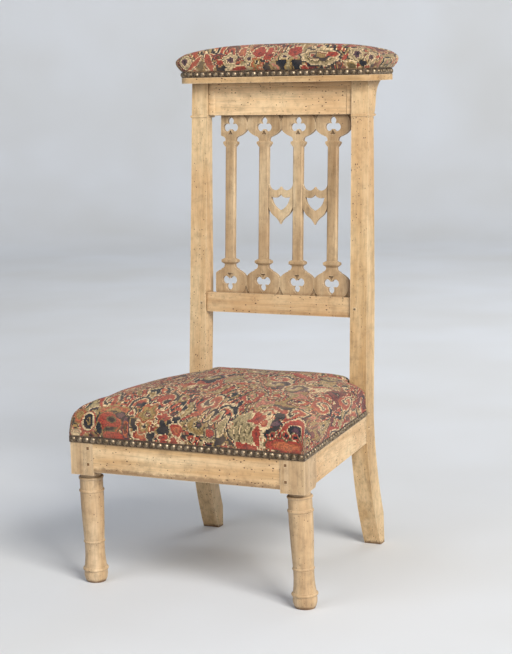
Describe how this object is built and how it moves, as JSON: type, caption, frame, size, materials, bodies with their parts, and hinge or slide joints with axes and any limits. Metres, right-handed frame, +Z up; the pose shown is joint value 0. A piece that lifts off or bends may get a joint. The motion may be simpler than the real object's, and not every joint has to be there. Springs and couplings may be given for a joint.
{
  "type": "prayer chair",
  "caption": "Low upholstered chair with turned front legs, swept rear posts, a pierced baluster back and a padded arm rest across the top, used for sitting or kneeling.",
  "frame": {"origin": "middle of the base of the chair's box, on the floor", "axes": "+Z up, the open front of the seat faces -Y, +X to the right seen from the front"},
  "size_m": [0.4604, 0.5093, 0.9454],
  "materials": {
    "leg_wood": "pale waxed hardwood, worn, with worm holes",
    "post_wood": "pale waxed hardwood, worn, with worm holes",
    "rail_wood": "pale waxed hardwood, worn, with worm holes",
    "crest_wood": "pale waxed hardwood, worn, with worm holes",
    "baluster_wood": "pale waxed hardwood, worn",
    "board_wood": "pale waxed hardwood, worn",
    "peg_wood": "darkened hardwood end grain",
    "webbing_jute": "woven jute webbing",
    "hessian_jute": "plain woven jute cloth",
    "stuffing_hair": "curled hair in a linen case",
    "needlework": "wool needlework on canvas, scrolls and flowers",
    "braid": "dark woven tape under the nails",
    "nail_brass": "aged domed brass nail heads",
    "tack_steel": "blued cut tacks"
  },
  "bodies": {
    "root": {"front_left_leg": "leg_wood", "front_right_leg": "leg_wood", "rear_left_post": "post_wood", "rear_right_post": "post_wood", "front_seat_rail": "rail_wood", "back_seat_rail": "rail_wood", "left_seat_rail": "rail_wood", "right_seat_rail": "rail_wood", "seat_pegs": "peg_wood", "back_pegs": "peg_wood", "lower_back_rail": "rail_wood", "crest_rail": "crest_wood", "baluster_1": "baluster_wood", "baluster_2": "baluster_wood", "baluster_3": "baluster_wood", "baluster_4": "baluster_wood", "tracery_left": "baluster_wood", "tracery_right": "baluster_wood", "left_corbel": "post_wood", "right_corbel": "post_wood", "arm_board": "board_wood", "webbing_long": "webbing_jute", "webbing_cross": "webbing_jute", "webbing_tacks": "tack_steel", "seat_hessian": "hessian_jute", "seat_stuffing": "stuffing_hair", "seat_cover": "needlework", "seat_band": "braid", "seat_nails": "nail_brass", "arm_stuffing": "stuffing_hair", "arm_cover": "needlework", "arm_band": "braid", "arm_nails": "nail_brass"}
  },
  "joints": []
}
